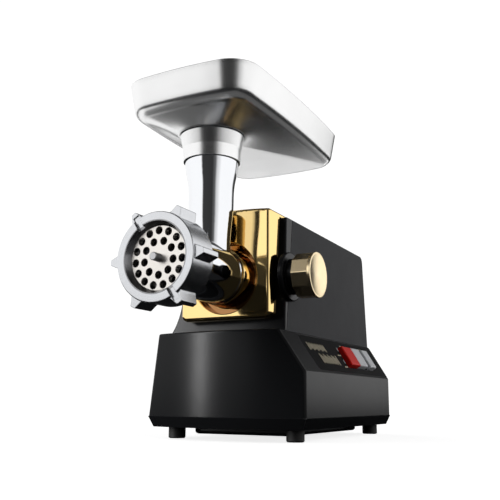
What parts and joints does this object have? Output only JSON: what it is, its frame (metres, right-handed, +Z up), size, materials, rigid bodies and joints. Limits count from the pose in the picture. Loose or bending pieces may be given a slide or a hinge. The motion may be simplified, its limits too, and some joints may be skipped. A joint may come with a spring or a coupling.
{
  "type": "electric meat grinder",
  "caption": "Countertop electric meat grinder: motor housing on a wide base, screw-fed grinding head with perforated plate and ring nut, feed tube with tray, clamp knob and rocker switches.",
  "frame": {"origin": "centre of the four feet on the table; X = 0 is the grinding axis", "axes": "+X towards the clamp knob side, -Y towards the grinding plate at the front, +Z up"},
  "size_m": [0.171, 0.3656, 0.3276],
  "materials": {
    "black_plastic": "satin moulded plastic",
    "side_grey": "satin dark grey moulded plastic",
    "label_black": "printed film label",
    "gold_plated": "mirror plated gold",
    "knob_gold": "spun and plated gold",
    "polished_cast": "polished casting",
    "satin_cast": "satin bead-blasted casting",
    "tray_sheet": "satin drawn sheet",
    "plate_steel": "ground steel",
    "shaft_steel": "turned steel",
    "screw_steel": "zinc plated",
    "bronze": "sintered bronze",
    "gear_nylon": "filled nylon",
    "lamination": "stacked laminations",
    "copper_wire": "enamelled winding",
    "carbon": "pressed carbon",
    "rubber_black": "moulded rubber",
    "red_plastic": "moulded switch cap",
    "grey_plastic": "moulded switch cap",
    "cast_grey": "die cast"
  },
  "bodies": {
    "housing": {"base_housing": "black_plastic", "bottom_cover": "black_plastic", "rubber_feet": "rubber_black", "foot_screws": "screw_steel", "control_label": "label_black", "switch_body": "black_plastic", "rocker_pin": "shaft_steel", "power_inlet": "black_plastic", "terminal_block": "grey_plastic", "right_side_panel": "side_grey", "left_side_panel": "side_grey", "top_cover": "black_plastic", "rear_cover": "black_plastic", "front_bezel": "black_plastic", "front_cover": "gold_plated", "head_socket": "cast_grey", "socket_screws": "screw_steel", "knob_escutcheon": "black_plastic", "gearbox_housing": "cast_grey", "gearbox_screws": "screw_steel", "gearbox_cover": "cast_grey", "cover_screws": "screw_steel", "bearing_carrier": "cast_grey", "bronze_bushes": "bronze", "stator": "lamination", "field_coils": "copper_wire", "front_motor_bracket": "cast_grey", "rear_motor_bracket": "cast_grey", "motor_bearings": "shaft_steel", "motor_bolts": "screw_steel", "bracket_screws": "screw_steel", "brush_holders": "bronze", "carbon_brushes": "carbon"},
    "power_switch": {"power_rocker": "red_plastic"},
    "reverse_switch": {"reverse_rocker": "grey_plastic"},
    "reset_switch": {"reset_button": "grey_plastic"},
    "knob": {"clamp_knob": "knob_gold", "clamp_rod": "shaft_steel"},
    "head": {"barrel": "polished_cast", "grinding_plate": "plate_steel"},
    "nut": {"ring_nut": "satin_cast"},
    "auger_set": {"auger": "satin_cast", "knife": "shaft_steel"},
    "tray": {"feed_tray": "tray_sheet", "tray_collar": "tray_sheet"},
    "output_drive": {"output_shaft": "shaft_steel", "output_gear": "gear_nylon"},
    "layshaft_drive": {"layshaft": "shaft_steel", "layshaft_gear": "gear_nylon"},
    "rotor": {"motor_shaft": "shaft_steel", "motor_pinion": "shaft_steel", "cooling_fan": "gear_nylon", "armature_core": "lamination", "armature_winding": "copper_wire", "commutator": "bronze"}
  },
  "joints": [
    {"name": "output_spin", "type": "hinge", "parent": "housing", "child": "output_drive", "pos_m": [0, -0.09, 0.1505], "axis": [0, -1, 0], "continuous": true},
    {"name": "layshaft_spin", "type": "hinge", "parent": "housing", "child": "layshaft_drive", "pos_m": [0, -0.07, 0.11925], "axis": [0, -1, 0], "continuous": true},
    {"name": "motor_spin", "type": "hinge", "parent": "housing", "child": "rotor", "pos_m": [0, 0.02, 0.1505], "axis": [0, -1, 0], "continuous": true},
    {"name": "head_slide", "type": "slide", "parent": "housing", "child": "head", "axis": [0, -1, 0], "range_m": [0, 0.06]},
    {"name": "auger_spin", "type": "hinge", "parent": "head", "child": "auger_set", "pos_m": [0, -0.18, 0.1505], "axis": [0, -1, 0], "continuous": true},
    {"name": "nut_turn", "type": "hinge", "parent": "head", "child": "nut", "pos_m": [0, -0.225, 0.1505], "axis": [0, -1, 0], "range_deg": [-90, 0]},
    {"name": "tray_lift", "type": "slide", "parent": "head", "child": "tray", "axis": [0, 0, 1], "range_m": [0, 0.05]},
    {"name": "knob_turn", "type": "hinge", "parent": "housing", "child": "knob", "pos_m": [0.08, -0.1039, 0.1505], "axis": [1, 0, 0], "range_deg": [0, 360]},
    {"name": "power_rock", "type": "hinge", "parent": "housing", "child": "power_switch", "pos_m": [0.06973, 0.0137, 0.07964], "axis": [0, 1, 0], "range_deg": [-8, 8]},
    {"name": "reverse_rock", "type": "hinge", "parent": "housing", "child": "reverse_switch", "pos_m": [0.06973, 0.04, 0.07964], "axis": [0, 1, 0], "range_deg": [-8, 8]},
    {"name": "reset_press", "type": "slide", "parent": "housing", "child": "reset_switch", "axis": [-0.8498, 0, -0.5271], "range_m": [0, 0.0025], "stiffness_N_per_m": 400, "springref_m": -0.001}
  ],
  "couplings": [
    {"joint": "layshaft_spin", "follows": "output_spin", "ratio": -4},
    {"joint": "motor_spin", "follows": "output_spin", "ratio": 16},
    {"joint": "auger_spin", "follows": "output_spin", "ratio": 1}
  ]
}
